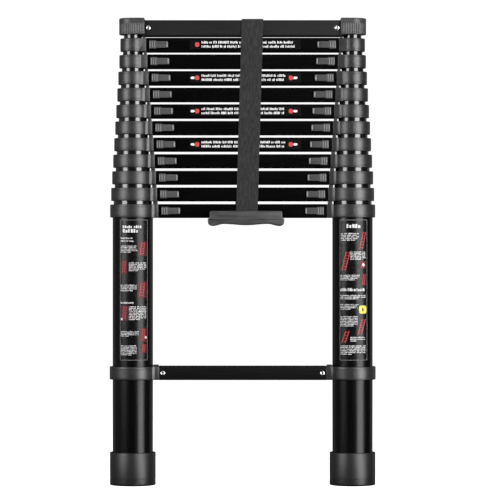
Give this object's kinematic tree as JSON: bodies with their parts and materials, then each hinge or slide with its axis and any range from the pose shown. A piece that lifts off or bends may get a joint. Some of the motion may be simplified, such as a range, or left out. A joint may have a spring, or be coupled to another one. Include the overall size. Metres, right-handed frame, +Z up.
{
  "type": "telescoping ladder",
  "caption": "Telescoping ladder, closed: nested round tube stiles, hollow rungs with thumb latches, rubber feet, webbing carrying strap and swinging handle.",
  "frame": {"origin": "on the floor, midway between the two feet, on the plane through both tube axes", "axes": "+X to the right across the ladder's width, -Y to the front where the latch buttons are, +Z up"},
  "size_m": [0.4934, 0.086, 0.8644],
  "materials": {
    "tube_aluminium": "gloss black anodised",
    "rung_aluminium": "satin black anodised",
    "latch_nylon": "fine-textured dark grey",
    "handle_plastic": "soft-touch dark grey",
    "foot_rubber": "matt black",
    "strap_webbing": "woven black"
  },
  "bodies": {
    "base": {"base_section": "tube_aluminium", "foot_left": "foot_rubber", "foot_right": "foot_rubber", "rung_02": "rung_aluminium", "strap_keeper": "strap_webbing"},
    "handle": {"carry_handle": "handle_plastic"},
    "section_02": {"stile_left_02": "tube_aluminium", "stile_right_02": "tube_aluminium", "rung_03": "rung_aluminium"},
    "section_03": {"stile_left_03": "tube_aluminium", "stile_right_03": "tube_aluminium", "rung_04": "rung_aluminium"},
    "section_04": {"stile_left_04": "tube_aluminium", "stile_right_04": "tube_aluminium", "rung_05": "rung_aluminium"},
    "section_05": {"stile_left_05": "tube_aluminium", "stile_right_05": "tube_aluminium", "rung_06": "rung_aluminium"},
    "section_06": {"stile_left_06": "tube_aluminium", "stile_right_06": "tube_aluminium", "rung_07": "rung_aluminium"},
    "section_07": {"stile_left_07": "tube_aluminium", "stile_right_07": "tube_aluminium", "rung_08": "rung_aluminium"},
    "section_08": {"stile_left_08": "tube_aluminium", "stile_right_08": "tube_aluminium", "rung_09": "rung_aluminium"},
    "section_09": {"stile_left_09": "tube_aluminium", "stile_right_09": "tube_aluminium", "rung_10": "rung_aluminium"},
    "section_10": {"stile_left_10": "tube_aluminium", "stile_right_10": "tube_aluminium", "rung_11": "rung_aluminium"},
    "section_11": {"stile_left_11": "tube_aluminium", "stile_right_11": "tube_aluminium", "rung_12": "rung_aluminium"},
    "section_12": {"top_section": "tube_aluminium", "carry_strap": "strap_webbing"},
    "latch_left_02": {"latch_left_02": "latch_nylon"},
    "latch_right_02": {"latch_right_02": "latch_nylon"},
    "latch_left_03": {"latch_left_03": "latch_nylon"},
    "latch_right_03": {"latch_right_03": "latch_nylon"},
    "latch_left_04": {"latch_left_04": "latch_nylon"},
    "latch_right_04": {"latch_right_04": "latch_nylon"},
    "latch_left_05": {"latch_left_05": "latch_nylon"},
    "latch_right_05": {"latch_right_05": "latch_nylon"},
    "latch_left_06": {"latch_left_06": "latch_nylon"},
    "latch_right_06": {"latch_right_06": "latch_nylon"},
    "latch_left_07": {"latch_left_07": "latch_nylon"},
    "latch_right_07": {"latch_right_07": "latch_nylon"},
    "latch_left_08": {"latch_left_08": "latch_nylon"},
    "latch_right_08": {"latch_right_08": "latch_nylon"},
    "latch_left_09": {"latch_left_09": "latch_nylon"},
    "latch_right_09": {"latch_right_09": "latch_nylon"},
    "latch_left_10": {"latch_left_10": "latch_nylon"},
    "latch_right_10": {"latch_right_10": "latch_nylon"},
    "latch_left_11": {"latch_left_11": "latch_nylon"},
    "latch_right_11": {"latch_right_11": "latch_nylon"},
    "latch_left_12": {"latch_left_12": "latch_nylon"},
    "latch_right_12": {"latch_right_12": "latch_nylon"}
  },
  "joints": [
    {"name": "section_02_slide", "type": "slide", "parent": "base", "child": "section_02", "axis": [0, 0, 1], "range_m": [0, 0.26925]},
    {"name": "section_03_slide", "type": "slide", "parent": "section_02", "child": "section_03", "axis": [0, 0, 1], "range_m": [0, 0.26925]},
    {"name": "section_04_slide", "type": "slide", "parent": "section_03", "child": "section_04", "axis": [0, 0, 1], "range_m": [0, 0.26925]},
    {"name": "section_05_slide", "type": "slide", "parent": "section_04", "child": "section_05", "axis": [0, 0, 1], "range_m": [0, 0.26925]},
    {"name": "section_06_slide", "type": "slide", "parent": "section_05", "child": "section_06", "axis": [0, 0, 1], "range_m": [0, 0.26925]},
    {"name": "section_07_slide", "type": "slide", "parent": "section_06", "child": "section_07", "axis": [0, 0, 1], "range_m": [0, 0.26925]},
    {"name": "section_08_slide", "type": "slide", "parent": "section_07", "child": "section_08", "axis": [0, 0, 1], "range_m": [0, 0.26925]},
    {"name": "section_09_slide", "type": "slide", "parent": "section_08", "child": "section_09", "axis": [0, 0, 1], "range_m": [0, 0.26925]},
    {"name": "section_10_slide", "type": "slide", "parent": "section_09", "child": "section_10", "axis": [0, 0, 1], "range_m": [0, 0.26925]},
    {"name": "section_11_slide", "type": "slide", "parent": "section_10", "child": "section_11", "axis": [0, 0, 1], "range_m": [0, 0.26925]},
    {"name": "section_12_slide", "type": "slide", "parent": "section_11", "child": "section_12", "axis": [0, 0, 1], "range_m": [0, 0.26925]},
    {"name": "latch_left_02_press", "type": "slide", "parent": "base", "child": "latch_left_02", "axis": [1, 0, 0], "range_m": [0, 0.012], "stiffness_N_per_m": 400, "springref_m": -0.008},
    {"name": "latch_right_02_press", "type": "slide", "parent": "base", "child": "latch_right_02", "axis": [-1, 0, 0], "range_m": [0, 0.012], "stiffness_N_per_m": 400, "springref_m": -0.008},
    {"name": "latch_left_03_press", "type": "slide", "parent": "section_02", "child": "latch_left_03", "axis": [1, 0, 0], "range_m": [0, 0.012], "stiffness_N_per_m": 400, "springref_m": -0.008},
    {"name": "latch_right_03_press", "type": "slide", "parent": "section_02", "child": "latch_right_03", "axis": [-1, 0, 0], "range_m": [0, 0.012], "stiffness_N_per_m": 400, "springref_m": -0.008},
    {"name": "latch_left_04_press", "type": "slide", "parent": "section_03", "child": "latch_left_04", "axis": [1, 0, 0], "range_m": [0, 0.012], "stiffness_N_per_m": 400, "springref_m": -0.008},
    {"name": "latch_right_04_press", "type": "slide", "parent": "section_03", "child": "latch_right_04", "axis": [-1, 0, 0], "range_m": [0, 0.012], "stiffness_N_per_m": 400, "springref_m": -0.008},
    {"name": "latch_left_05_press", "type": "slide", "parent": "section_04", "child": "latch_left_05", "axis": [1, 0, 0], "range_m": [0, 0.012], "stiffness_N_per_m": 400, "springref_m": -0.008},
    {"name": "latch_right_05_press", "type": "slide", "parent": "section_04", "child": "latch_right_05", "axis": [-1, 0, 0], "range_m": [0, 0.012], "stiffness_N_per_m": 400, "springref_m": -0.008},
    {"name": "latch_left_06_press", "type": "slide", "parent": "section_05", "child": "latch_left_06", "axis": [1, 0, 0], "range_m": [0, 0.012], "stiffness_N_per_m": 400, "springref_m": -0.008},
    {"name": "latch_right_06_press", "type": "slide", "parent": "section_05", "child": "latch_right_06", "axis": [-1, 0, 0], "range_m": [0, 0.012], "stiffness_N_per_m": 400, "springref_m": -0.008},
    {"name": "latch_left_07_press", "type": "slide", "parent": "section_06", "child": "latch_left_07", "axis": [1, 0, 0], "range_m": [0, 0.012], "stiffness_N_per_m": 400, "springref_m": -0.008},
    {"name": "latch_right_07_press", "type": "slide", "parent": "section_06", "child": "latch_right_07", "axis": [-1, 0, 0], "range_m": [0, 0.012], "stiffness_N_per_m": 400, "springref_m": -0.008},
    {"name": "latch_left_08_press", "type": "slide", "parent": "section_07", "child": "latch_left_08", "axis": [1, 0, 0], "range_m": [0, 0.012], "stiffness_N_per_m": 400, "springref_m": -0.008},
    {"name": "latch_right_08_press", "type": "slide", "parent": "section_07", "child": "latch_right_08", "axis": [-1, 0, 0], "range_m": [0, 0.012], "stiffness_N_per_m": 400, "springref_m": -0.008},
    {"name": "latch_left_09_press", "type": "slide", "parent": "section_08", "child": "latch_left_09", "axis": [1, 0, 0], "range_m": [0, 0.012], "stiffness_N_per_m": 400, "springref_m": -0.008},
    {"name": "latch_right_09_press", "type": "slide", "parent": "section_08", "child": "latch_right_09", "axis": [-1, 0, 0], "range_m": [0, 0.012], "stiffness_N_per_m": 400, "springref_m": -0.008},
    {"name": "latch_left_10_press", "type": "slide", "parent": "section_09", "child": "latch_left_10", "axis": [1, 0, 0], "range_m": [0, 0.012], "stiffness_N_per_m": 400, "springref_m": -0.008},
    {"name": "latch_right_10_press", "type": "slide", "parent": "section_09", "child": "latch_right_10", "axis": [-1, 0, 0], "range_m": [0, 0.012], "stiffness_N_per_m": 400, "springref_m": -0.008},
    {"name": "latch_left_11_press", "type": "slide", "parent": "section_10", "child": "latch_left_11", "axis": [1, 0, 0], "range_m": [0, 0.012], "stiffness_N_per_m": 400, "springref_m": -0.008},
    {"name": "latch_right_11_press", "type": "slide", "parent": "section_10", "child": "latch_right_11", "axis": [-1, 0, 0], "range_m": [0, 0.012], "stiffness_N_per_m": 400, "springref_m": -0.008},
    {"name": "latch_left_12_press", "type": "slide", "parent": "section_11", "child": "latch_left_12", "axis": [1, 0, 0], "range_m": [0, 0.012], "stiffness_N_per_m": 400, "springref_m": -0.008},
    {"name": "latch_right_12_press", "type": "slide", "parent": "section_11", "child": "latch_right_12", "axis": [-1, 0, 0], "range_m": [0, 0.012], "stiffness_N_per_m": 400, "springref_m": -0.008},
    {"name": "carry_handle_swing", "type": "hinge", "parent": "base", "child": "handle", "pos_m": [0.0063, -0.0276, 0.5023], "axis": [-1, 0, 0], "range_deg": [0, 90]}
  ]
}
